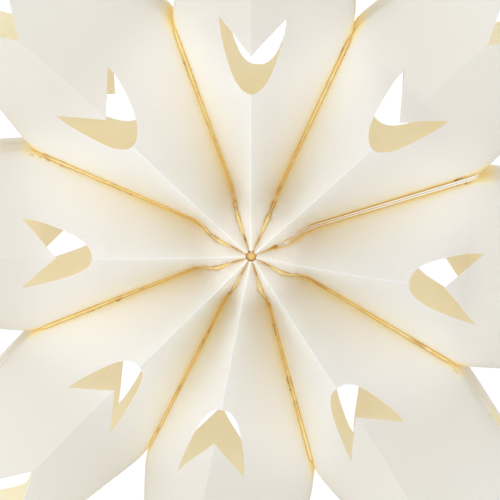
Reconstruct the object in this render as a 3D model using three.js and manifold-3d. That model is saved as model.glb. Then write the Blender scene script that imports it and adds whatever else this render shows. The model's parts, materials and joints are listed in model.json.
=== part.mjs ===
// Fold-out paper snowflake star: eight folded paper bags glued side by side and
// fanned out to a full circle around a horizontal axis.
// Units are millimetres, +Z is up. The star hangs from the tip of its top bag, so the
// origin is the hanging point and the star's centre is HANG_RADIUS below it.
// The front of the star faces -Y.
//
// Each bag is drawn in its own frame first: x runs outwards along the bag, y is the
// depth through the star and z is the direction across the bag.

import * as THREE from 'three';
import { mergeVertices } from 'three/addons/utils/BufferGeometryUtils.js';
import Module from 'manifold-3d';

// Star
const PETAL_SPANS_DEG = [45, 48, 48, 44, 42, 41, 45, 47];  // opening of each bag, clockwise from the top
const FOLD_TURNS_DEG = [2.8, 0.2, -3.8, -5, -5, 2.8, 2.5, 4.5];  // its folds, anticlockwise of its middle
const CLOSURE_SEAM = 2;           // the fan closes between bags 2 and 3
const HANG_RADIUS = 264;          // from the star's centre to the thread holes

// Folded bag
const HALF_DEPTH = 98;            // from the middle plane to the front or back fold
const GLUE_HALF_DEPTH = 38;       // half the width of the strip glued to the next bag
const PETAL_START = 5;            // the bag's closed bottom, at the hub
const PETAL_TIP = 292;
const SEAM_RADIUS = 138;          // where the glued strip ends
const WALL = 0.7;
const MOUTH_EASING = 5;           // how soon the sides turn parallel past the glued strip
const MOUTH_TAPER = 0.08;         // how much they then draw in for each millimetre outwards
const WALL_STEPS = 3;             // flat facets between the glued strip and the fold
const FIRST_TILT = 0.8;           // the wall's tilt at the seam, as a share of its tilt at the fold
const SEAM_CLEARANCE = 0.45;      // from a bag's outer face to the seam's middle plane
const CARD_CLEARANCE = 1.3;       // the same where an end card lies between
const BASE_GLUE_END = 20;         // up to here the bags are glued over their full depth
const BASE_FREE_END = 36;         // from here only the middle strip is glued

// Die-cut openings of a bag
const ARROW_START = 94.5;
const ARROW_NOTCH = 116;
const ARROW_TIPS = 137.5;
const ARROW_HALF_WIDTH = 18.5;
const KITE_START = 185;
const KITE_SHOULDER = 212;
const KITE_END = 236;
const KITE_HALF_WIDTH = 17;
const THREAD_HOLE_RADIUS = 2;
const THREAD_HOLE_DEPTH = 72;     // from the middle plane to each thread hole

// Glue tapes, end cards and magnets
const TAPE_THICKNESS = 0.2;
const BASE_TAPE_START = 14;
const BASE_TAPE_HALF_DEPTH = 84;
const STEM_TAPE_HALF_DEPTH = 36;
const TAPE_END = 135;
const TAPE_GAP = 0.4;
const CARD_THICKNESS = 0.8;
const CARD_FACE_OFFSET = 0.15;    // from the closure plane to each card's face
const CARD_START = 16;
const CARD_END = 140;
const CARD_NECK = 22;
const CARD_BASE_HALF_DEPTH = 82;
const CARD_HALF_DEPTH = 40;
const MAGNET_RADIUS = 5;
const MAGNET_HOLE_RADIUS = 5.3;
const MAGNET_THICKNESS = 0.6;
const MAGNET_PLACES = [52, 118];

const PAPER = { color: 0xf3eddf, roughness: 0.9, metalness: 0 };
const TAPE = { color: 0xe8d9a8, roughness: 0.6, metalness: 0 };
const CARD = { color: 0xefe6d2, roughness: 0.85, metalness: 0 };
const MAGNET = { color: 0xb9bbbd, roughness: 0.3, metalness: 1 };

const wasm = await Module();
wasm.setup();

// ---- solids ----------------------------------------------------------------------

function toSolid(geometry) {
  const bare = geometry.index ? geometry.toNonIndexed() : geometry.clone();
  bare.deleteAttribute('normal');
  bare.deleteAttribute('uv');
  const merged = mergeVertices(bare, 1e-4);
  const mesh = new wasm.Mesh({
    numProp: 3,
    vertProperties: new Float32Array(merged.attributes.position.array),
    triVerts: new Uint32Array(merged.index.array),
  });
  return new wasm.Manifold(mesh);
}

function toGeometry(solid) {
  const mesh = solid.getMesh();
  const geometry = new THREE.BufferGeometry();
  geometry.setAttribute('position', new THREE.BufferAttribute(mesh.vertProperties, 3));
  geometry.setIndex(new THREE.BufferAttribute(mesh.triVerts, 1));
  geometry.computeVertexNormals();
  return geometry;
}

// An outline in x and z, turned onto the bag's fold and pushed through the star's depth.
function cutThroughDepth(outline, halfDepth, foldTurn) {
  const shape = new THREE.Shape(outline.map(([x, z]) => new THREE.Vector2(x, z)));
  const prism = new THREE.ExtrudeGeometry(shape, { depth: 2 * halfDepth, bevelEnabled: false });
  prism.translate(0, 0, -halfDepth);
  prism.rotateX(Math.PI / 2);
  prism.rotateY(-foldTurn);
  return toSolid(prism);
}

// An outline in x and y, pushed across the bag.
function cutAcross(outline, halfWidth) {
  const shape = new THREE.Shape(outline.map(([x, y]) => new THREE.Vector2(x, y)));
  const prism = new THREE.ExtrudeGeometry(shape, { depth: 2 * halfWidth, bevelEnabled: false });
  prism.translate(0, 0, -halfWidth);
  return toSolid(prism);
}

// ---- the spread bag --------------------------------------------------------------

const CURVE_SAMPLES = 24;

function smooth(from, to, x) {
  const t = Math.min(Math.max((x - from) / (to - from), 0), 1);
  return t * t * (3 - 2 * t);
}

// Half the bag's width at x: it follows the seam planes, then stays nearly parallel.
function halfWidth(x, halfAngle) {
  const seamEnd = SEAM_RADIUS * Math.cos(halfAngle);
  const rise = Math.tan(halfAngle);
  if (x <= seamEnd) return x * rise;
  const past = x - seamEnd;
  const eased = MOUTH_EASING * (1 - Math.exp(-past / MOUTH_EASING));
  return seamEnd * rise + rise * eased - MOUTH_TAPER * (past - eased);
}

// Depth at which the wall leaves the seam, and the free length from there to the fold.
function freeWall(x, halfAngle) {
  const full = HALF_DEPTH - GLUE_HALF_DEPTH;
  const short = 1.25 * halfWidth(x, halfAngle) + 4;
  const length = short + (full - short) * smooth(BASE_GLUE_END, BASE_FREE_END, x);
  return { start: HALF_DEPTH - length, length };
}

// A wall leaves the seam at a small tilt and turns more and more across the bag.
function wallPath(x, halfAngle, steps) {
  const { start, length } = freeWall(x, halfAngle);
  const width = halfWidth(x, halfAngle);
  const tiltAt = (turn, t) => turn * (FIRST_TILT + (1 - FIRST_TILT) * (2 * t - t * t));
  const across = (turn) => {
    let sum = 0;
    for (let i = 0; i < CURVE_SAMPLES; i += 1) {
      sum += Math.sin(tiltAt(turn, (i + 0.5) / CURVE_SAMPLES));
    }
    return sum * length / CURVE_SAMPLES;
  };
  let low = 0;
  let high = 1.75;
  for (let i = 0; i < 40; i += 1) {
    const middle = (low + high) / 2;
    if (across(middle) < width) low = middle;
    else high = middle;
  }
  const points = [];
  let z = width;
  let y = start;
  for (let i = 0; i <= CURVE_SAMPLES; i += 1) {
    if ((i * steps) % CURVE_SAMPLES === 0) points.push([y, z]);
    const tilt = tiltAt(low, (i + 0.5) / CURVE_SAMPLES);
    z -= Math.sin(tilt) * length / CURVE_SAMPLES;
    y += Math.cos(tilt) * length / CURVE_SAMPLES;
  }
  points[steps][1] = 0;
  return points;
}

// The bag's outer section at x as a closed ring of [y, z], starting at the front fold.
// The folds are turned by foldTurn about the star's centre, and the seams stay put.
function outerRing(x, halfAngle, clearances, foldTurn) {
  const path = wallPath(x, halfAngle, WALL_STEPS);
  const width = path[0][1];
  const foldShift = x * Math.tan(foldTurn);
  const side = (clearance, sign) => {
    const scale = (width - clearance / Math.cos(halfAngle)) / width;
    return path.map(([y, z]) => [y, z * scale + sign * foldShift * (1 - (z / width) ** 2)]);
  };
  const left = side(clearances.left, 1);
  const right = side(clearances.right, -1);
  const ring = [];
  for (let i = WALL_STEPS; i >= 0; i -= 1) ring.push([-left[i][0], left[i][1]]);
  for (let i = 0; i <= WALL_STEPS; i += 1) ring.push([left[i][0], left[i][1]]);
  for (let i = WALL_STEPS - 1; i >= 0; i -= 1) ring.push([right[i][0], -right[i][1]]);
  for (let i = 0; i < WALL_STEPS; i += 1) ring.push([-right[i][0], -right[i][1]]);
  return ring;
}

// The same ring moved inwards by the wall's thickness, with mitred corners.
function innerRing(ring, thickness) {
  return ring.map((point, i) => {
    const before = ring[(i + ring.length - 1) % ring.length];
    const after = ring[(i + 1) % ring.length];
    const a = new THREE.Vector2(point[0] - before[0], point[1] - before[1]).normalize();
    const b = new THREE.Vector2(after[0] - point[0], after[1] - point[1]).normalize();
    const normalA = new THREE.Vector2(a.y, -a.x);
    const normalB = new THREE.Vector2(b.y, -b.x);
    const mitre = normalA.add(normalB).normalize();
    const along = thickness / Math.max(mitre.dot(new THREE.Vector2(a.y, -a.x)), 0.12);
    return [point[0] + mitre.x * along, point[1] + mitre.y * along];
  });
}

function loft(stations, rings) {
  const count = rings[0].length;
  const position = [];
  stations.forEach((x, s) => rings[s].forEach(([y, z]) => position.push(x, y, z)));
  const index = [];
  for (let s = 0; s + 1 < stations.length; s += 1) {
    for (let i = 0; i < count; i += 1) {
      const a = s * count + i;
      const b = s * count + (i + 1) % count;
      index.push(a, b + count, b, a, a + count, b + count);
    }
  }
  const last = (stations.length - 1) * count;
  const half = count / 2;
  // each end is closed by a strip between its left and right walls
  for (let i = 0; i < half; i += 1) {
    const p = (count - i) % count;
    const q = count - i - 1;
    const cells = i === 0 ? [[p, 1, q]] : i === half - 1 ? [[p, i, half]] : [[p, i, i + 1], [p, i + 1, q]];
    cells.forEach(([a, b, c]) => {
      index.push(a, b, c);
      index.push(last + a, last + c, last + b);
    });
  }
  const geometry = new THREE.BufferGeometry();
  geometry.setAttribute('position', new THREE.BufferAttribute(new Float32Array(position), 3));
  geometry.setIndex(index);
  return toSolid(geometry);
}

// ---- die-cut outlines ------------------------------------------------------------

// Round towards the hub, a paper tongue between two tips on the outer side.
function arrowOutline() {
  const outline = [];
  const centre = ARROW_START + ARROW_HALF_WIDTH;
  const turns = 6;
  for (let i = 0; i <= turns; i += 1) {
    const angle = Math.PI / 2 + Math.PI * i / turns;
    outline.push([centre + ARROW_HALF_WIDTH * Math.cos(angle), ARROW_HALF_WIDTH * Math.sin(angle)]);
  }
  outline.push([ARROW_TIPS, -ARROW_HALF_WIDTH], [ARROW_NOTCH, 0], [ARROW_TIPS, ARROW_HALF_WIDTH]);
  return outline;
}

function kiteOutline() {
  return [
    [KITE_START, 0], [KITE_SHOULDER, -KITE_HALF_WIDTH],
    [KITE_END, 0], [KITE_SHOULDER, KITE_HALF_WIDTH],
  ];
}

// What is cut away from the bag's mouth, seen across the bag: a rounded tongue in the
// middle, a barb on each side of it, and two leaf-shaped tips at the folds.
function mouthOutline() {
  const half = [
    [170, 5], [166, 12], [157, 20], [180, 21], [206, 27],
    [236, 40], [262, 54], [280, 67], [PETAL_TIP, 80],
  ];
  const beyond = PETAL_TIP + 20;
  const mirrored = half.map(([x, y]) => [x, -y]).reverse();
  return [...mirrored, ...half, [beyond, 80], [beyond, -80]];
}

function threadHole(y) {
  const cylinder = new THREE.CylinderGeometry(THREAD_HOLE_RADIUS, THREAD_HOLE_RADIUS, 120, 12);
  cylinder.rotateX(Math.PI / 2);
  cylinder.translate(HANG_RADIUS, y, 0);
  return toSolid(cylinder);
}

// ---- pieces ----------------------------------------------------------------------

function petal(number) {
  const foldTurn = THREE.MathUtils.degToRad(FOLD_TURNS_DEG[number - 1]);
  const halfAngle = THREE.MathUtils.degToRad(PETAL_SPANS_DEG[number - 1]) / 2;
  const nextToCard = { left: number === CLOSURE_SEAM + 1, right: number === CLOSURE_SEAM };
  const clearances = {
    left: nextToCard.left ? CARD_CLEARANCE : SEAM_CLEARANCE,
    right: nextToCard.right ? CARD_CLEARANCE : SEAM_CLEARANCE,
  };
  const seamEnd = SEAM_RADIUS * Math.cos(halfAngle);
  const first = nextToCard.left || nextToCard.right ? PETAL_START + 3 : PETAL_START;
  const along = [first, 20, 34, 50, 74, 100, seamEnd, seamEnd + 7, 170, 205, 250, PETAL_TIP + 1];
  const ring = (x) => outerRing(x, halfAngle, clearances, foldTurn);
  const hollowFrom = first + 2.5;
  const inside = [hollowFrom, ...along.slice(1, -1), PETAL_TIP + 3];
  const inner = inside.map((x) => innerRing(ring(x), WALL));
  let bag = loft(along, along.map(ring)).subtract(loft(inside, inner));
  bag = bag.subtract(cutThroughDepth(arrowOutline(), 2 * HALF_DEPTH, foldTurn));
  bag = bag.subtract(cutThroughDepth(kiteOutline(), 2 * HALF_DEPTH, foldTurn));
  bag = bag.subtract(cutAcross(mouthOutline(), HALF_DEPTH));
  if (number === 1) {
    bag = bag.subtract(threadHole(-THREAD_HOLE_DEPTH));
    bag = bag.subtract(threadHole(THREAD_HOLE_DEPTH));
  }
  return toGeometry(bag);
}

function baseTape() {
  const length = BASE_GLUE_END - BASE_TAPE_START;
  const tape = new THREE.BoxGeometry(length, 2 * BASE_TAPE_HALF_DEPTH, TAPE_THICKNESS);
  tape.translate(BASE_TAPE_START + length / 2, 0, 0);
  return tape;
}

function stemTape() {
  const start = BASE_GLUE_END + TAPE_GAP;
  const tape = new THREE.BoxGeometry(TAPE_END - start, 2 * STEM_TAPE_HALF_DEPTH, TAPE_THICKNESS);
  tape.translate((start + TAPE_END) / 2, 0, 0);
  return tape;
}

// side is 1 for the card that faces up at the closure and -1 for the one below it.
function endCard(side) {
  const shape = new THREE.Shape();
  const corner = 8;
  shape.moveTo(CARD_START, -CARD_BASE_HALF_DEPTH);
  shape.lineTo(CARD_NECK, -CARD_BASE_HALF_DEPTH);
  shape.quadraticCurveTo(CARD_NECK + 5, -CARD_HALF_DEPTH, BASE_FREE_END + 6, -CARD_HALF_DEPTH);
  shape.lineTo(CARD_END - corner, -CARD_HALF_DEPTH);
  shape.absarc(CARD_END - corner, -CARD_HALF_DEPTH + corner, corner, -Math.PI / 2, 0, false);
  shape.absarc(CARD_END - corner, CARD_HALF_DEPTH - corner, corner, 0, Math.PI / 2, false);
  shape.lineTo(BASE_FREE_END + 6, CARD_HALF_DEPTH);
  shape.quadraticCurveTo(CARD_NECK + 5, CARD_HALF_DEPTH, CARD_NECK, CARD_BASE_HALF_DEPTH);
  shape.lineTo(CARD_START, CARD_BASE_HALF_DEPTH);
  MAGNET_PLACES.forEach((x) => {
    const hole = new THREE.Path();
    hole.absarc(x, 0, MAGNET_HOLE_RADIUS, 0, 2 * Math.PI, true);
    shape.holes.push(hole);
  });
  const plain = { depth: CARD_THICKNESS, bevelEnabled: false, curveSegments: 6 };
  const card = new THREE.ExtrudeGeometry(shape, plain);
  card.translate(0, 0, side > 0 ? CARD_FACE_OFFSET : -CARD_FACE_OFFSET - CARD_THICKNESS);
  return card;
}

function magnet(side, x) {
  const disc = new THREE.CylinderGeometry(MAGNET_RADIUS, MAGNET_RADIUS, MAGNET_THICKNESS, 16);
  disc.rotateX(Math.PI / 2);
  disc.translate(x, 0, side * (CARD_FACE_OFFSET + MAGNET_THICKNESS / 2));
  return disc;
}

// ---- the star --------------------------------------------------------------------

const group = new THREE.Group();
const star = new THREE.Group();
star.position.z = -HANG_RADIUS;
group.add(star);

// angleDeg is measured in the star's plane from +X towards +Z
function addPiece(name, geometry, finish, angleDeg) {
  const mesh = new THREE.Mesh(geometry, new THREE.MeshStandardMaterial(finish));
  mesh.name = name;
  mesh.rotation.y = -THREE.MathUtils.degToRad(angleDeg);
  star.add(mesh);
}

let petalAngle = 90;
PETAL_SPANS_DEG.forEach((span, i) => {
  const number = i + 1;
  const nextSpan = PETAL_SPANS_DEG[(i + 1) % PETAL_SPANS_DEG.length];
  const seamAngle = petalAngle - span / 2;
  addPiece(`petal_${number}`, petal(number), PAPER, petalAngle);
  if (number === CLOSURE_SEAM) {
    addPiece('end_card_upper', endCard(1), CARD, seamAngle);
    addPiece('end_card_lower', endCard(-1), CARD, seamAngle);
    MAGNET_PLACES.forEach((x, m) => {
      addPiece(`magnet_upper_${m + 1}`, magnet(1, x), MAGNET, seamAngle);
      addPiece(`magnet_lower_${m + 1}`, magnet(-1, x), MAGNET, seamAngle);
    });
  } else {
    addPiece(`base_tape_${number}`, baseTape(), TAPE, seamAngle);
    addPiece(`stem_tape_${number}`, stemTape(), TAPE, seamAngle);
  }
  petalAngle = seamAngle - nextSpan / 2;
});

export default group;
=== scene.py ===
import json
import math

import bpy
from mathutils import Matrix, Vector, noise
from mathutils.geometry import delaunay_2d_cdt


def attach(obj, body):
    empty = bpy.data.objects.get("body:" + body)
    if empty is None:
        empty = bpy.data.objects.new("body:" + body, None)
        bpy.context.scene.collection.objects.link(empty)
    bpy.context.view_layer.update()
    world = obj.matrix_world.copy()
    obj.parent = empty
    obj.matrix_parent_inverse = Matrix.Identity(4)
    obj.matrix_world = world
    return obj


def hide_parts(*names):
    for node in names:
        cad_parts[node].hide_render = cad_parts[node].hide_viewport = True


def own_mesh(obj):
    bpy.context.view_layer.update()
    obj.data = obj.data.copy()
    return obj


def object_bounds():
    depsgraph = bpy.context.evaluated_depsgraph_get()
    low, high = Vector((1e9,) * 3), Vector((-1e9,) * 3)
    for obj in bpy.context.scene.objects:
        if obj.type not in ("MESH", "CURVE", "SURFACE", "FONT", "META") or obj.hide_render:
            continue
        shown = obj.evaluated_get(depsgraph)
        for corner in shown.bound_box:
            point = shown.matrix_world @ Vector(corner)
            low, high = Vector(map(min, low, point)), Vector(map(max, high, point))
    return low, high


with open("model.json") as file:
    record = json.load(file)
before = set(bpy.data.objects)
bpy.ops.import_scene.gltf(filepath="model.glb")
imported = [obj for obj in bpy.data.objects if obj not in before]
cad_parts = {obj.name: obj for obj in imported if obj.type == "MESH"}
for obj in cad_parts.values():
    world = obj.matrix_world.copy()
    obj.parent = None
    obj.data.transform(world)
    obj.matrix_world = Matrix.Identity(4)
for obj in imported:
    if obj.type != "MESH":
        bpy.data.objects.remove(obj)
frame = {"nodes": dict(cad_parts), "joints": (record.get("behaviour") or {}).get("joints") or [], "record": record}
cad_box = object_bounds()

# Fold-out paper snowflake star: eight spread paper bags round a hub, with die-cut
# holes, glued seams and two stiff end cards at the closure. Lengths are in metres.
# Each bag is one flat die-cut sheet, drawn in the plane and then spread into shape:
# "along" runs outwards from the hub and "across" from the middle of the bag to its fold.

record = frame["record"]
joints = {joint["name"]: joint for joint in frame["joints"]}
driver = record["behaviour"]["couplings"][0]["follows"]
centre = Vector(joints[driver]["pos_m"])

# ---- driving dimensions ------------------------------------------------------------

PETAL_SPANS_DEG = [45, 48, 48, 44, 42, 41, 45, 47]    # clockwise from the top
FOLD_TURNS_DEG = [2.8, 0.2, -3.8, -5, -5, 2.8, 2.5, 4.5]    # anticlockwise of each bag's middle
CLOSURE_SEAM = 2
HALF_DEPTH = 0.098
GLUE_HALF_DEPTH = 0.038
BAG_START = 0.0034
BAG_TIP = 0.292
SEAM_RADIUS = 0.138
BASE_GLUE_END = 0.020
BASE_FREE_END = 0.036
MOUTH_EASING = 0.005
MOUTH_TAPER = 0.08
FIRST_TILT = 0.8         # the wall's tilt at the seam, as a share of its tilt at the fold
PAPER = 0.00036
HUB_CLEARANCE = 0.00006  # nominal, from a seam's middle plane to the bag's wall, near the hub
SEAM_CLEARANCE = 0.0002  # the same beyond the hub, next to a glue tape
CARD_CLEARANCE = 0.0012  # the same next to an end card
HUB_END = 0.010          # the clearance grows from here
SEAM_START = 0.0155      # to here
BOTTOM_HALF_ANGLE_DEG = 22.5    # gives the width of every bag's bottom at the hub
LEAST_WIDTH = 0.0002     # a bag's halves never come closer to its middle plane than this
HUB_WALL_SHARE = 1.25    # near the hub a free wall is this share of the bag's half width
HUB_WALL_EXTRA = 0.004   # and this much longer

LAP_START = 0.012
LAP_END = 0.152
LAP_OFFSET = 0.003       # from the bag's middle line to the lap
LAP_WIDTH = 0.012
LAP_LIFT = 1.25          # from the wall's middle to the lap's, in papers
LAP_COLUMNS = 40
LAP_ROWS = 3

ARROW_START = 0.0945
ARROW_NOTCH = 0.116
ARROW_TIPS = 0.1375
ARROW_HALF_WIDTH = 0.0218
KITE_START = 0.185
KITE_SHOULDER = 0.212
KITE_END = 0.236
KITE_HALF_WIDTH = 0.018
THREAD_HOLE_RADIUS = 0.002
THREAD_HOLE_ALONG = -centre.z
THREAD_HOLE_ACROSS = 0.080
THREAD_HOLE_CORNERS = 12
PAST_FOLD = 0.001        # how far a hole's outline runs past the fold, to cut it cleanly

BEAD_RADIUS = 0.0032
BEAD_HALF_LENGTH = 0.007
BEAD_SETBACK = 0.0105    # from the bags' front or back folds inwards to the bead's middle
BEAD_TURNS = 24
BEAD_RINGS = 14
GLUE_START = 0.0125
GLUE_END_GAP = 0.0015    # from the pressed-out glue's end to the seam's end
GLUE_RISE = 0.0022       # how far the glue climbs up the walls, near the hub
GLUE_LEAST_RISE = 0.00025
GLUE_FOOT = -0.0004      # where its section starts, just inside the glued strip
GLUE_CROWN = 0.10        # its bulge, as a share of its width
GLUE_FILL = 0.86         # its section is shrunk to this share of the groove
GLUE_STEPS = 90

WAVE_DEPTH = 0.0021      # of the free paper's slight waves
FINE_WAVE_DEPTH = 0.0005
HEM_WAVE_DEPTH = 0.0014
WAVE_ACROSS = 0.8        # a wave's push sideways and out of the star
WAVE_OUTWARDS = 0.5

GRID = 0.0052            # spacing of the sheet's mesh
CURVE_STEPS = 28         # straight pieces of a wall's section
STEEPEST_TILT = 1.75     # upper bound of the search for a wall's tilt, in radians
TILT_SEARCH_STEPS = 34

# ---- small helpers -----------------------------------------------------------------


def smooth(start, end, x):
    t = min(max((x - start) / (end - start), 0.0), 1.0)
    return t * t * (3 - 2 * t)


def bezier(p0, p1, p2, steps):
    """Points of a quadratic curve, without its last point."""
    found = []
    for i in range(steps):
        t = i / steps
        a, b, c = (1 - t) ** 2, 2 * t * (1 - t), t * t
        found.append((a * p0[0] + b * p1[0] + c * p2[0], a * p0[1] + b * p1[1] + c * p2[1]))
    return found


def add_object(name, mesh):
    obj = bpy.data.objects.new(name, mesh)
    bpy.context.scene.collection.objects.link(obj)
    return obj


# ---- the flat sheet ----------------------------------------------------------------


def arrow_half():
    """Half of the arrow-shaped hole, on the fold: round inside, tongue and tip outside."""
    fold = HALF_DEPTH
    r = ARROW_HALF_WIDTH
    cheek = (ARROW_START + 0.013, fold - 0.76 * r)
    tip = (ARROW_TIPS, fold - r)
    outline = bezier((ARROW_START, fold), (ARROW_START + 0.0005, fold - 0.56 * r), cheek, 8)
    outline += bezier(cheek, (ARROW_START + 0.024, fold - 0.94 * r), tip, 7)
    outline += bezier(tip, (ARROW_NOTCH + 0.009, fold - 0.45 * r), (ARROW_NOTCH, fold), 6)
    past = fold + PAST_FOLD
    return outline + [(ARROW_NOTCH, fold), (ARROW_NOTCH, past), (ARROW_START, past)]


def kite_half():
    """Half of the kite-shaped hole farther out on the fold."""
    fold = HALF_DEPTH
    shoulder = (KITE_SHOULDER, fold - KITE_HALF_WIDTH)
    inner = bezier((KITE_START, fold), (KITE_START + 0.012, fold - 0.008), shoulder, 6)
    outer = bezier(shoulder, (KITE_SHOULDER + 0.012, fold - 0.012), (KITE_END, fold), 6)
    return inner + outer + [(KITE_END, fold + PAST_FOLD), (KITE_START, fold + PAST_FOLD)]


def mouth_outline():
    """The mouth's cut edge from the bag's middle to the fold: tongue, barb and leaf tip."""
    fold = HALF_DEPTH
    tongue = bezier((0.1700, 0.0), (0.1700, 0.010), (0.1640, 0.0145), 6)
    barb_in = bezier((0.1640, 0.0145), (0.1590, 0.0175), (0.1560, 0.0205), 4)
    barb_out = bezier((0.1560, 0.0205), (0.1640, 0.0225), (0.1800, 0.0215), 5)
    belly = bezier((0.1800, 0.0215), (0.2320, 0.0230), (0.2620, 0.0600), 10)
    tip = bezier((0.2620, 0.0600), (0.2800, 0.0800), (BAG_TIP, fold), 7)
    return tongue + barb_in + barb_out + belly + tip + [(BAG_TIP, fold)]


def inside_polygon(point, outline):
    x, y = point
    hit = False
    for (x0, y0), (x1, y1) in zip(outline, outline[1:] + outline[:1]):
        if (y0 > y) != (y1 > y) and x < x0 + (y - y0) / (y1 - y0) * (x1 - x0):
            hit = not hit
    return hit


def near_edges(point, outlines, distance):
    p = Vector(point)
    for outline in outlines:
        for a, b in zip(outline, outline[1:] + outline[:1]):
            a, b = Vector(a), Vector(b)
            side = b - a
            t = max(0.0, min(1.0, (p - a).dot(side) / max(side.length_squared, 1e-12)))
            if (a + side * t - p).length < distance:
                return True
    return False


def quarter_sheet(extra_holes=()):
    """Triangles of a quarter of the bag's sheet: (points, triangles) in (along, across)."""
    bottom = BAG_START - first_width()
    mouth = mouth_outline()
    outer = [(bottom, 0.0)] + mouth + [(bottom, HALF_DEPTH)]
    holes = [arrow_half(), kite_half(), *extra_holes]
    everything = [outer, *holes]
    points, edges = [], []
    for outline in everything:
        first = len(points)
        points += outline
        count = len(outline)
        edges += [(first + i, first + (i + 1) % count) for i in range(count)]
    rows = round(HALF_DEPTH / GRID)
    columns = round((BAG_TIP - BAG_START) / GRID)
    along = [bottom, (bottom + BAG_START) / 2, BAG_START]
    along += [BAG_START + (BAG_TIP - BAG_START) * (i + 1) / columns for i in range(columns)]
    for u in along:
        for j in range(rows + 1):
            w = HALF_DEPTH * j / rows
            on_side = j in (0, rows)
            if not inside_polygon((u + 1e-7, min(max(w, 1e-6), HALF_DEPTH - 1e-6)), outer):
                continue
            clear = GRID * (0.12 if on_side else 0.38)
            if near_edges((u, w), [mouth, *holes], clear):
                continue
            points.append((u, w))
    found = delaunay_2d_cdt([Vector(p) for p in points], edges, [], 0, 1e-7)
    flat, triangles = found[0], found[2]
    kept = []
    for triangle in triangles:
        middle = sum((flat[i] for i in triangle), Vector((0, 0))) / 3
        if middle.y > HALF_DEPTH or not inside_polygon(middle, outer):
            continue
        if any(inside_polygon(middle, hole) for hole in holes):
            continue
        kept.append(tuple(triangle))
    return [(p.x, min(p.y, HALF_DEPTH)) for p in flat], kept


# ---- spreading the sheet -------------------------------------------------------------


def first_width():
    return BAG_START * math.tan(math.radians(BOTTOM_HALF_ANGLE_DEG))


def half_width(along, half_angle):
    seam_end = SEAM_RADIUS * math.cos(half_angle)
    rise = math.tan(half_angle)
    if along <= seam_end:
        return along * rise
    past = along - seam_end
    eased = MOUTH_EASING * (1 - math.exp(-past / MOUTH_EASING))
    return seam_end * rise + rise * eased - MOUTH_TAPER * (past - eased)


def free_wall(along, half_angle):
    full = HALF_DEPTH - GLUE_HALF_DEPTH
    short = HUB_WALL_SHARE * half_width(along, half_angle) + HUB_WALL_EXTRA
    length = short + (full - short) * smooth(BASE_GLUE_END, BASE_FREE_END, along)
    return HALF_DEPTH - length, length


def tilt_at(turn, t):
    return turn * (FIRST_TILT + (1 - FIRST_TILT) * (2 * t - t * t))


def wall_curve(along, half_angle):
    """The wall's section at one place: points from the glued strip to the fold."""
    start, length = free_wall(along, half_angle)
    width = half_width(along, half_angle)
    low, high = 0.0, STEEPEST_TILT
    for _ in range(TILT_SEARCH_STEPS):
        turn = (low + high) / 2
        across = sum(math.sin(tilt_at(turn, (i + 0.5) / CURVE_STEPS)) for i in range(CURVE_STEPS))
        if across * length / CURVE_STEPS < width:
            low = turn
        else:
            high = turn
    points = [(start, width)]
    y, z = start, width
    for i in range(CURVE_STEPS):
        tilt = tilt_at(low, (i + 0.5) / CURVE_STEPS)
        y += math.cos(tilt) * length / CURVE_STEPS
        z -= math.sin(tilt) * length / CURVE_STEPS
        points.append((y, z))
    excess = points[-1][1]
    points = [(y, z - excess * i / CURVE_STEPS) for i, (y, z) in enumerate(points)]
    return start, length, points


def bag_place(along, across, half_angle, curves):
    """Depth and width of a point of the sheet once the bag is spread."""
    u = max(along, BAG_START)
    key = round(u * 20000)
    if key not in curves:
        curves[key] = wall_curve(key / 20000, half_angle)
    start, length, points = curves[key]
    if across <= start:
        y, z = across, points[0][1]
    else:
        place = min((across - start) / length, 1.0) * CURVE_STEPS
        i = min(int(place), CURVE_STEPS - 1)
        f = place - i
        y = points[i][0] * (1 - f) + points[i + 1][0] * f
        z = points[i][1] * (1 - f) + points[i + 1][1] * f
    if along < BAG_START:
        z *= max(0.0, 1 - (BAG_START - along) / first_width())
    return u, y, z


def cockle(along, across, side, seed):
    """Slight waves of the free paper: none at the folds, the hub and the glued strip."""
    free = smooth(GLUE_HALF_DEPTH, 0.068, across) * (1 - smooth(0.080, HALF_DEPTH, across))
    loose = smooth(0.03, 0.10, along)
    beyond = smooth(0.13, 0.20, along)
    place = Vector((along * 14, across * 16 * side, seed * 7.3))
    fine = Vector((along * 45, across * 38 * side, seed * 3.1))
    wave = WAVE_DEPTH * noise.noise(place) + FINE_WAVE_DEPTH * noise.noise(fine)
    hem = HEM_WAVE_DEPTH * beyond * noise.noise(Vector((along * 22, side * 5.0, seed * 2.7)))
    return wave * free * loose + hem * (1 - smooth(0.03, 0.06, across))


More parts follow.
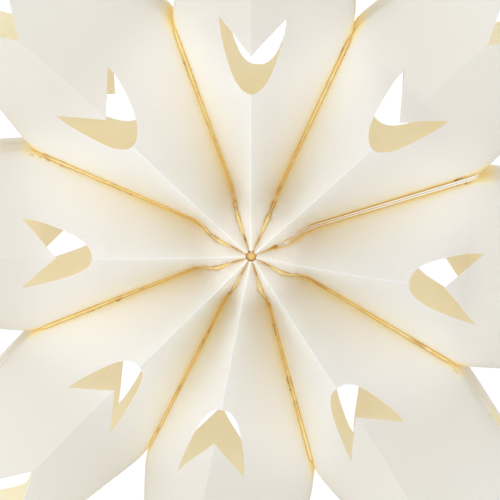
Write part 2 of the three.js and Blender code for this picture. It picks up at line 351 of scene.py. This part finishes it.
class Bag:
    """One bag of the star: where it stands and how its two sides are spaced."""

    def __init__(self, number):
        self.number = number
        spans = PETAL_SPANS_DEG
        turned = spans[0] / 2 + sum(spans[1:number - 1]) + spans[number - 1] / 2
        self.angle = math.radians(90 - (turned if number > 1 else 0))
        self.half_angle = math.radians(spans[number - 1]) / 2
        self.clearance = {
            1: CARD_CLEARANCE if number == CLOSURE_SEAM + 1 else SEAM_CLEARANCE,
            -1: CARD_CLEARANCE if number == CLOSURE_SEAM else SEAM_CLEARANCE,
        }
        self.out = Vector((math.cos(self.angle), 0, math.sin(self.angle)))
        self.sideways = Vector((-math.sin(self.angle), 0, math.cos(self.angle)))
        self.fold_slope = math.tan(math.radians(FOLD_TURNS_DEG[number - 1]))
        self.curves = {}

    def glue_distance(self, along, across):
        """How far a point of the sheet lies past the strip glued to the next bag."""
        return across - free_wall(max(along, BAG_START), self.half_angle)[0]

    def point(self, along, across, side, face):
        """side is 1 on the anticlockwise wall, face is -1 on the front half."""
        u, y, z = bag_place(along, across, self.half_angle, self.curves)
        room = self.clearance[side] - HUB_CLEARANCE
        gap = HUB_CLEARANCE + room * smooth(HUB_END, SEAM_START, u)
        seam = gap / math.cos(self.half_angle) + PAPER / 2
        width = half_width(u, self.half_angle)
        turned = side * u * self.fold_slope * (1 - (z / width) ** 2)
        z = z * max(width - seam, LEAST_WIDTH) / width + (turned if u > BAG_START else 0.0)
        push = cockle(along, across, side, self.number * 2 + 0.5 * face)
        z += push * WAVE_ACROSS
        y += push * WAVE_OUTWARDS
        return centre + self.out * u + self.sideways * (side * z) + Vector((0, face * y, 0))

    def attach(self, obj):
        """Lets a piece ride on the bag's body as the star folds."""
        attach(obj, f"petal_{self.number}")
        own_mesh(obj)


# ---- building a bag's mesh -----------------------------------------------------------
# A point of a sheet is kept as (place, (along, across, glue distance)).

FAR_FROM_GLUE = 1.0
WELDS_PER_METRE = 2e5
BAG_MIDDLE = 0.1         # a place inside the spread bag, measured from the hub


def weld(points, triangles):
    """Joins points that coincide and drops triangles that vanish."""
    found, index, kept = {}, [], []
    for point in points:
        key = tuple(round(c * WELDS_PER_METRE) for c in point[0])
        if key not in found:
            found[key] = len(kept)
            kept.append(point)
        index.append(found[key])
    faces = []
    for a, b, c in triangles:
        a, b, c = index[a], index[b], index[c]
        if len({a, b, c}) == 3:
            faces.append((a, b, c))
    return kept, faces


def thicken(name, points, faces, thickness, fold_test):
    """A closed sheet of paper: both faces, the cut edge all round, and sharp folds."""
    normals = [Vector() for _ in points]
    face_normals = []
    for face in faces:
        a, b, c = (points[i][0] for i in face)
        normal = (b - a).cross(c - a)
        face_normals.append(normal.normalized())
        for i in face:
            normals[i] += normal
    count = len(points)
    sharpest = [1.0] * count
    for face, normal in zip(faces, face_normals):
        for i in face:
            if normals[i].length > 0:
                sharpest[i] = min(sharpest[i], max(normals[i].normalized().dot(normal), 0.5))
    offsets = [n.normalized() * (thickness / 2 / s) for n, s in zip(normals, sharpest)]
    vertices = [p[0] + o for p, o in zip(points, offsets)]
    vertices += [p[0] - o for p, o in zip(points, offsets)]
    sides = {}
    for face in faces:
        for i in range(3):
            edge = (face[i], face[(i + 1) % 3])
            sides[edge] = sides.get(edge, 0) + 1
    rim = [edge for edge in sides if (edge[1], edge[0]) not in sides]
    polygons = [tuple(face) for face in faces]
    polygons += [tuple(count + i for i in reversed(face)) for face in faces]
    polygons += [(b, a, count + a, count + b) for a, b in rim]
    mesh = bpy.data.meshes.new(name)
    mesh.from_pydata(vertices, [], polygons)
    mesh.validate()
    mesh.polygons.foreach_set("use_smooth", [True] * len(mesh.polygons))
    inner_from = len(faces)
    kinds = [0] * inner_from + [1] * inner_from + [2] * len(rim)
    mesh.polygons.foreach_set("material_index", kinds[:len(mesh.polygons)])
    rim_edges = {frozenset(edge) for edge in rim} | {frozenset((a + count, b + count)) for a, b in rim}
    flat = [p[1] for p in points]
    sharp = []
    for edge in mesh.edges:
        a, b = edge.vertices
        on_rim = frozenset((a, b)) in rim_edges
        fold = fold_test(flat[a % count]) and fold_test(flat[b % count])
        sharp.append(on_rim or fold)
    mesh.attributes.new("sharp_edge", "BOOLEAN", "EDGE").data.foreach_set("value", sharp)
    for attribute, pick in (("along", 0), ("glue_distance", 2)):
        layer = mesh.attributes.new(attribute, "FLOAT", "POINT")
        layer.data.foreach_set("value", [p[pick] for p in flat] * 2)
    return mesh


def bag_mesh(bag, flat, triangles):
    """The whole sheet of a bag: the flat quarter mirrored to both sides and both halves."""
    points, faces = [], []
    for side in (1, -1):
        for face in (1, -1):
            first = len(points)
            for along, across in flat:
                place = bag.point(along, across, side, face)
                points.append((place, (along, across, bag.glue_distance(along, across))))
            for a, b, c in triangles:
                turned = (a, b, c) if side * face > 0 else (a, c, b)
                faces.append(tuple(first + i for i in turned))
    points, faces = weld(points, faces)
    # the first face looks outwards when its normal leaves the bag's middle
    middle = centre + bag.out * BAG_MIDDLE
    probe = max(faces, key=lambda f: abs((points[f[0]][0] - middle).dot(bag.sideways)))
    a, b, c = (points[i][0] for i in probe)
    if (b - a).cross(c - a).dot(a - middle) < 0:
        faces = [(a, c, b) for a, b, c in faces]

    def fold_test(place):
        return place[1] > HALF_DEPTH - 1e-6 or place[0] <= BAG_START + 1e-6

    return thicken(f"petal_paper_{bag.number}", points, faces, PAPER, fold_test)


def lap_mesh(bag):
    """The overlap that closes the bag's tube, glued inside its back clockwise wall."""
    points, faces = [], []
    for i in range(LAP_COLUMNS + 1):
        along = LAP_START + (LAP_END - LAP_START) * i / LAP_COLUMNS
        for j in range(LAP_ROWS + 1):
            across = LAP_OFFSET + LAP_WIDTH * j / LAP_ROWS
            place = bag.point(along, across, -1, 1)
            place += bag.sideways * (PAPER * LAP_LIFT)
            points.append((place, (along, across, FAR_FROM_GLUE)))
    for i in range(LAP_COLUMNS):
        for j in range(LAP_ROWS):
            a = i * (LAP_ROWS + 1) + j
            b = a + LAP_ROWS + 1
            faces += [(a, b, b + 1), (a, b + 1, a + 1)]
    return thicken(f"petal_lap_{bag.number}", points, faces, PAPER, lambda place: False)


# ---- materials -----------------------------------------------------------------------


class Nodes:
    """A few short calls for building a material's node tree."""

    def __init__(self, name):
        self.material = bpy.data.materials.new(name)
        self.material.use_nodes = True
        self.tree = self.material.node_tree
        self.shader = self.tree.nodes["Principled BSDF"]
        self.output = self.tree.nodes["Material Output"]

    def add(self, kind, **inputs):
        node = self.tree.nodes.new(kind)
        for key, value in inputs.items():
            node.inputs[key.replace("_", " ")].default_value = value
        return node

    def link(self, a, b):
        self.tree.links.new(a, b)

    def attribute(self, name):
        node = self.tree.nodes.new("ShaderNodeAttribute")
        node.attribute_name = name
        return node.outputs["Fac"]

    def noise(self, scale, detail=4.0, roughness=0.55, stretch=(1, 1, 1)):
        place = self.tree.nodes.new("ShaderNodeTexCoord")
        mapping = self.add("ShaderNodeMapping")
        mapping.inputs["Scale"].default_value = stretch
        self.link(place.outputs["Object"], mapping.inputs["Vector"])
        texture = self.add("ShaderNodeTexNoise", Scale=scale, Detail=detail, Roughness=roughness)
        self.link(mapping.outputs["Vector"], texture.inputs["Vector"])
        return texture.outputs["Fac"]

    def ramp(self, value, start, end, low=0.0, high=1.0):
        node = self.tree.nodes.new("ShaderNodeMapRange")
        node.interpolation_type = "SMOOTHSTEP"
        for key, number in (("From Min", start), ("From Max", end), ("To Min", low), ("To Max", high)):
            node.inputs[key].default_value = number
        self.link(value, node.inputs["Value"])
        return node.outputs["Result"]

    def math(self, operation, a, b):
        node = self.tree.nodes.new("ShaderNodeMath")
        node.operation = operation
        for socket, value in zip(node.inputs, (a, b)):
            if isinstance(value, (int, float)):
                socket.default_value = value
            else:
                self.link(value, socket)
        return node.outputs[0]

    def mix(self, factor, a, b):
        node = self.tree.nodes.new("ShaderNodeMix")
        node.data_type = "RGBA"
        for socket, value in zip((node.inputs[0], node.inputs[6], node.inputs[7]), (factor, a, b)):
            if isinstance(value, (int, float)):
                socket.default_value = value
            elif isinstance(value, tuple):
                socket.default_value = (*value, 1.0)
            else:
                self.link(value, socket)
        return node.outputs[2]

    def bump(self, height, strength, distance):
        node = self.add("ShaderNodeBump", Strength=strength, Distance=distance)
        self.link(height, node.inputs["Height"])
        self.link(node.outputs["Normal"], self.shader.inputs["Normal"])


def fibres(nodes):
    """Fine paper tooth with a few longer fibres."""
    tooth = nodes.noise(2600, detail=3)
    cloud = nodes.noise(420, detail=5, roughness=0.7)
    strands = nodes.noise(900, detail=2, stretch=(1, 5, 1.4))
    mixed = nodes.math("ADD", tooth, nodes.math("MULTIPLY", cloud, 0.8))
    return nodes.math("ADD", mixed, nodes.math("MULTIPLY", strands, 0.7))


def translucent(nodes, colour, share):
    """Lets part of the light through the sheet, which warms it, as thin paper does."""
    glow = nodes.tree.nodes.new("ShaderNodeBsdfTranslucent")
    nodes.link(colour, glow.inputs["Color"])
    mixer = nodes.tree.nodes.new("ShaderNodeMixShader")
    mixer.inputs["Fac"].default_value = share
    nodes.link(nodes.shader.outputs["BSDF"], mixer.inputs[1])
    nodes.link(glow.outputs["BSDF"], mixer.inputs[2])
    nodes.link(mixer.outputs["Shader"], nodes.output.inputs["Surface"])


def painted_seam_glow_and_glue(nodes, paper):
    """Painted light: a warm glow painted into the crevice between two bags, and the glue that shows there."""
    distance = nodes.attribute("glue_distance")
    along = nodes.attribute("along")
    waver = nodes.ramp(nodes.noise(26, detail=3), 0.3, 0.7, 0.8, 1.25)
    growing = nodes.ramp(along, 0.014, 0.034, 0.0025, 0.013)
    reach = nodes.math("MULTIPLY", growing, nodes.ramp(along, 0.03, SEAM_RADIUS, 1.0, 0.4))
    reach = nodes.math("MULTIPLY", reach, waver)
    near = nodes.math("DIVIDE", distance, reach)
    glued = nodes.ramp(along, SEAM_RADIUS + 0.004, SEAM_RADIUS - 0.010)
    open_from = nodes.math("MULTIPLY", glued, nodes.ramp(along, 0.009, 0.024))
    # painted light: a warm glow painted on either side of the seam
    glow = nodes.math("MULTIPLY", nodes.ramp(near, 1.0, 0.0), open_from)
    # painted light: the painted glow is most golden right along the seam
    painted_glow_core = nodes.math("MULTIPLY", nodes.ramp(near, 0.16, 0.04), glued)
    blots = nodes.ramp(nodes.noise(95, detail=6, roughness=0.75), 0.57, 0.62)
    patches = nodes.ramp(nodes.noise(17, detail=1), 0.46, 0.56)
    stain = nodes.math("MULTIPLY", nodes.math("MULTIPLY", blots, patches), nodes.ramp(near, 0.35, 0.15))
    # painted light: the warm glow and its golden core laid over the paper's colour; the brown below is real glue
    # stain
    paper = nodes.mix(glow, paper, (0.988, 0.94, 0.735))
    paper = nodes.mix(painted_glow_core, paper, (0.985, 0.865, 0.48))
    return nodes.mix(nodes.math("MULTIPLY", stain, glued), paper, (0.50, 0.27, 0.08))


def paper_outside():
    nodes = Nodes("paper_outside")
    cloud = nodes.noise(38, detail=5, roughness=0.6)
    speck = nodes.noise(1500, detail=2)
    ivory = nodes.mix(nodes.ramp(cloud, 0.35, 0.65), (0.875, 0.905, 0.94), (0.89, 0.92, 0.955))
    ivory = nodes.mix(nodes.ramp(speck, 0.66, 0.80, 0.0, 0.25), ivory, (0.90, 0.87, 0.80))
    # painted shade: the free ends are coloured darker than the walls between the seams
    painted_shade_free_end = nodes.ramp(nodes.attribute("along"), 0.095, 0.155)
    ivory = nodes.mix(painted_shade_free_end, ivory, (0.795, 0.80, 0.80))
    # painted light: the paper next to the seams close to the hub is made paler, lifting the shade in those
    # crevices
    painted_light_near_seams = nodes.ramp(nodes.attribute("glue_distance"), 0.048, 0.004)
    near_hub = nodes.ramp(nodes.attribute("along"), 0.155, 0.10)
    painted_light_near_seams = nodes.math("MULTIPLY", painted_light_near_seams, near_hub)
    ivory = nodes.mix(painted_light_near_seams, ivory, (0.965, 0.985, 0.995))
    ivory = painted_seam_glow_and_glue(nodes, ivory)
    nodes.link(ivory, nodes.shader.inputs["Base Color"])
    nodes.shader.inputs["Roughness"].default_value = 0.82
    nodes.shader.inputs["Specular IOR Level"].default_value = 0.25
    nodes.shader.inputs["Sheen Weight"].default_value = 0.08
    nodes.shader.inputs["Sheen Roughness"].default_value = 0.6
    nodes.bump(fibres(nodes), 0.10, 0.0002)
    translucent(nodes, nodes.mix(0.45, ivory, (0.982, 0.97, 0.945)), 0.50)
    return nodes.material


def paper_inside():
    nodes = Nodes("paper_inside")
    cloud = nodes.noise(30, detail=5, roughness=0.6)
    cream = nodes.mix(nodes.ramp(cloud, 0.35, 0.65), (0.983, 0.917, 0.68), (0.986, 0.931, 0.715))
    nodes.link(cream, nodes.shader.inputs["Base Color"])
    nodes.shader.inputs["Roughness"].default_value = 0.86
    nodes.shader.inputs["Specular IOR Level"].default_value = 0.2
    nodes.bump(fibres(nodes), 0.10, 0.0002)
    translucent(nodes, cream, 0.50)
    return nodes.material


def cut_edge():
    nodes = Nodes("paper_cut_edge")
    grain = nodes.noise(2200, detail=4)
    pale = nodes.mix(nodes.ramp(grain, 0.3, 0.7), (0.88, 0.83, 0.72), (0.93, 0.89, 0.80))
    nodes.link(pale, nodes.shader.inputs["Base Color"])
    nodes.shader.inputs["Roughness"].default_value = 0.9
    nodes.bump(grain, 0.25, 0.0002)
    return nodes.material


def card_stock():
    nodes = Nodes("card_stock")
    cloud = nodes.noise(60, detail=5)
    grain = nodes.noise(1400, detail=4)
    tan = nodes.mix(nodes.ramp(cloud, 0.3, 0.7), (0.92, 0.86, 0.72), (0.95, 0.90, 0.78))
    nodes.link(tan, nodes.shader.inputs["Base Color"])
    nodes.shader.inputs["Roughness"].default_value = 0.85
    nodes.bump(grain, 0.2, 0.0003)
    return nodes.material


def dried_glue(name, least_brown):
    """Dried golden glue, browner in places."""
    nodes = Nodes(name)
    cloud = nodes.noise(140, detail=5, roughness=0.65)
    blot = nodes.noise(52, detail=3)
    gold = nodes.mix(nodes.ramp(cloud, 0.3, 0.7), (0.91, 0.66, 0.22), (0.95, 0.77, 0.36))
    gold = nodes.mix(nodes.ramp(blot, 0.52, 0.66, least_brown, 0.8), gold, (0.66, 0.38, 0.12))
    nodes.link(gold, nodes.shader.inputs["Base Color"])
    nodes.link(nodes.ramp(cloud, 0.3, 0.7, 0.35, 0.6), nodes.shader.inputs["Roughness"])
    nodes.bump(cloud, 0.35, 0.0006)
    return nodes.material


def glue_tape():
    nodes = Nodes("glue_tape")
    cloud = nodes.noise(90, detail=4)
    amber = nodes.mix(nodes.ramp(cloud, 0.3, 0.7), (0.955, 0.81, 0.46), (0.965, 0.855, 0.56))
    nodes.link(amber, nodes.shader.inputs["Base Color"])
    nodes.shader.inputs["Roughness"].default_value = 0.75
    nodes.bump(cloud, 0.3, 0.0006)
    return nodes.material


def magnet_metal():
    nodes = Nodes("magnet_metal")
    brushed = nodes.noise(700, detail=3, stretch=(1, 1, 8))
    grey = nodes.mix(nodes.ramp(brushed, 0.3, 0.7), (0.55, 0.56, 0.58), (0.68, 0.69, 0.71))
    nodes.link(grey, nodes.shader.inputs["Base Color"])
    nodes.link(nodes.ramp(brushed, 0.2, 0.8, 0.25, 0.42), nodes.shader.inputs["Roughness"])
    nodes.shader.inputs["Metallic"].default_value = 1.0
    nodes.bump(brushed, 0.1, 0.0001)
    return nodes.material


def floor_material():
    nodes = Nodes("floor")
    nodes.shader.inputs["Base Color"].default_value = (0.97, 0.97, 0.97, 1)
    nodes.shader.inputs["Roughness"].default_value = 0.9
    return nodes.material


# ---- camera, light and floor ---------------------------------------------------------

CAMERA_HEIGHT_DEG = 7.4
CAMERA_SIDE_DEG = 1.1
CAMERA_ROLL_DEG = 2.5
CAMERA_DISTANCE = 6.0
FRAME_WIDTH = 0.300         # what the picture's width spans at the star's middle plane
MIDDLE_LEFT = 0.0030        # how far the picture's middle lies to the left of the star's centre
MIDDLE_DOWN = 0.0084        # and how far below it
SENSOR_WIDTH_MM = 36
FLOOR_SIZE = 24
FLOOR_DROP = 1.0            # from the object's box down to the floor


def place_camera():
    data = bpy.data.cameras.new("camera")
    camera = add_object("camera", data)
    height = math.radians(CAMERA_HEIGHT_DEG)
    side = math.radians(CAMERA_SIDE_DEG)
    back = Vector((math.sin(side) * math.cos(height), -math.cos(side) * math.cos(height), math.sin(height)))
    turn = back.to_track_quat("Z", "Y").to_matrix().to_4x4()
    turn = turn @ Matrix.Rotation(math.radians(CAMERA_ROLL_DEG), 4, "Z")
    target = centre + turn.to_3x3() @ Vector((-MIDDLE_LEFT, -MIDDLE_DOWN, 0))
    camera.matrix_world = Matrix.Translation(target + back * CAMERA_DISTANCE) @ turn
    data.sensor_width = SENSOR_WIDTH_MM
    data.lens = SENSOR_WIDTH_MM * CAMERA_DISTANCE / FRAME_WIDTH
    data.clip_end = 50
    bpy.context.scene.camera = camera


def area_light(name, place, size, power, colour):
    data = bpy.data.lights.new(name, "AREA")
    data.size = size
    data.energy = power
    data.color = colour
    light = add_object(name, data)
    place = centre + Vector(place)
    turn = (place - centre).to_track_quat("Z", "Y").to_matrix().to_4x4()
    light.matrix_world = Matrix.Translation(place) @ turn


def studio():
    world = bpy.data.worlds.new("studio")
    world.use_nodes = True
    background = world.node_tree.nodes["Background"]
    background.inputs["Color"].default_value = (0.88, 0.91, 1.0, 1)
    background.inputs["Strength"].default_value = 1.21
    scene = bpy.context.scene
    scene.world = world
    scene.view_settings.view_transform = "Standard"
    scene.cycles.diffuse_bounces = 24
    scene.cycles.transmission_bounces = 24
    scene.cycles.max_bounces = 32
    area_light("key", (-1.9, -1.1, 0.4), 1.3, 9, (1.0, 0.99, 0.98))
    area_light("fill", (-0.5, -1.6, -1.2), 1.5, 1.2, (0.98, 0.99, 1.0))
    floor_height = cad_box[0][2] - FLOOR_DROP
    bpy.ops.mesh.primitive_plane_add(size=FLOOR_SIZE, location=(0, 0, floor_height))
    floor = bpy.context.object
    floor.name = "floor"
    floor.data.materials.append(floor_material())


# ---- putting it together -------------------------------------------------------------


def thread_hole():
    outline = []
    for i in range(THREAD_HOLE_CORNERS):
        turn = 2 * math.pi * i / THREAD_HOLE_CORNERS
        along = THREAD_HOLE_ALONG + THREAD_HOLE_RADIUS * math.cos(turn)
        across = THREAD_HOLE_ACROSS + THREAD_HOLE_RADIUS * math.sin(turn)
        outline.append((along, across))
    return outline


def build_bags():
    papers = [paper_outside(), paper_inside(), cut_edge()]
    plain = quarter_sheet()
    with_thread_hole = quarter_sheet([thread_hole()])
    bags = [Bag(number) for number in range(1, len(PETAL_SPANS_DEG) + 1)]
    for bag in bags:
        number = bag.number
        flat, triangles = with_thread_hole if number == 1 else plain
        paper = add_object(f"petal_paper_{number}", bag_mesh(bag, flat, triangles))
        lap = add_object(f"petal_lap_{number}", lap_mesh(bag))
        for piece in (paper, lap):
            for material in papers:
                piece.data.materials.append(material)
            bag.attach(piece)
        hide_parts(f"petal_{number}")
    return bags


def hub_bead(face):
    """A small lump of glue in the hole where the bags' bottoms meet, at the front or back."""
    points, triangles = [], []
    for i in range(BEAD_RINGS + 1):
        share = 2 * i / BEAD_RINGS - 1
        depth = face * (HALF_DEPTH - BEAD_SETBACK + BEAD_HALF_LENGTH * share)
        radius = BEAD_RADIUS * max(1 - share ** 8, 0.0) ** 0.5
        for j in range(BEAD_TURNS):
            turn = 2 * math.pi * j / BEAD_TURNS
            out = Vector((math.cos(turn), 0, math.sin(turn)))
            lump = 0.88 + 0.14 * noise.noise(out * 1.9 + Vector((0, depth * 260, 0)))
            points.append((centre + out * radius * lump + Vector((0, depth, 0)), ()))
            a, b = i * BEAD_TURNS + j, i * BEAD_TURNS + (j + 1) % BEAD_TURNS
            if i < BEAD_RINGS:
                triangles += [(a, b, b + BEAD_TURNS), (a, b + BEAD_TURNS, a + BEAD_TURNS)]
    points, triangles = weld(points, triangles)
    if face > 0:
        triangles = [(a, c, b) for a, b, c in triangles]
    mesh = bpy.data.meshes.new("hub_bead")
    mesh.from_pydata([point[0] for point in points], [], triangles)
    mesh.polygons.foreach_set("use_smooth", [True] * len(mesh.polygons))
    return mesh


def glue_section(left, right, radius, face, rise):
    """The glue's section between two bags at one radius, pressed against both walls."""
    section = []
    for bag, side in ((left, 1), (right, -1)):
        along = radius * math.cos(bag.half_angle)
        start = free_wall(along, bag.half_angle)[0]
        reaches = (GLUE_FOOT, rise * 0.5, rise)
        section.append([bag.point(along, start + reach, side, face) for reach in reaches])
    (a0, a1, a2), (b0, b1, b2) = section
    top = (a2 + b2) / 2 + Vector((0, face * GLUE_CROWN * (a2 - b2).length, 0))
    ring = [a0, a1, a2, top, b2, b1, b0]
    middle = sum(ring, Vector()) / len(ring)
    return [middle + (point - middle) * GLUE_FILL for point in ring]


def seam_glue(number, left, right, face):
    """The glue pressed out along the seam between two bags, uneven along its length."""
    vertices, faces = [], []
    length = SEAM_RADIUS - GLUE_END_GAP - GLUE_START
    for i in range(GLUE_STEPS + 1):
        share = i / GLUE_STEPS
        radius = GLUE_START + length * share
        place = Vector((radius * 60, number * 3.7, face * 5.1))
        lumps = 0.30 * noise.noise(place) + 0.30 * noise.noise(place * 3.1)
        ends = min(share, 1 - share) * GLUE_STEPS / 3
        rise = GLUE_RISE * (1 - 0.45 * share) * (0.75 + lumps) * min(ends, 1.0) + GLUE_LEAST_RISE
        vertices += glue_section(left, right, radius, face, rise)
    count = len(vertices) // (GLUE_STEPS + 1)
    last = GLUE_STEPS * count
    for i in range(GLUE_STEPS):
        for j in range(count):
            a, b = i * count + j, i * count + (j + 1) % count
            faces.append((a, b, b + count, a + count))
    faces.append(tuple(reversed(range(count))))
    faces.append(tuple(range(last, last + count)))
    if face < 0:
        faces = [tuple(reversed(polygon)) for polygon in faces]
    mesh = bpy.data.meshes.new(f"seam_glue_{number}")
    mesh.from_pydata(vertices, [], faces)
    smooth_faces = [True] * (len(faces) - 2) + [False] * 2
    mesh.polygons.foreach_set("use_smooth", smooth_faces)
    return mesh


def build_seam_glue(bags):
    """The glue at every fixed seam, front and back; the closure has none."""
    glue = dried_glue("seam_glue", 0.0)
    for bag in bags:
        if bag.number == CLOSURE_SEAM:
            continue
        following = bags[bag.number % len(bags)]
        for name, face in (("front", -1), ("back", 1)):
            mesh = seam_glue(bag.number, following, bag, face)
            piece = add_object(f"seam_glue_{bag.number}_{name}", mesh)
            piece.data.materials.append(glue)
            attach(piece, f"seam_{bag.number}")
            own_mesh(piece)


def build_hub():
    glue = dried_glue("hub_glue", 0.45)
    for name, face in (("hub_bead_front", -1), ("hub_bead_back", 1)):
        bead = add_object(name, hub_bead(face))
        bead.data.materials.append(glue)
        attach(bead, "petal_1")


def finish_cad_nodes():
    finishes = {"tape": glue_tape(), "card": card_stock(), "magnet": magnet_metal()}
    for name in frame["nodes"]:
        for word, material in finishes.items():
            if word in name:
                piece = bpy.data.objects[name]
                piece.data.materials.clear()
                piece.data.materials.append(material)


place_camera()
studio()
bags = build_bags()
build_seam_glue(bags)
build_hub()
finish_cad_nodes()
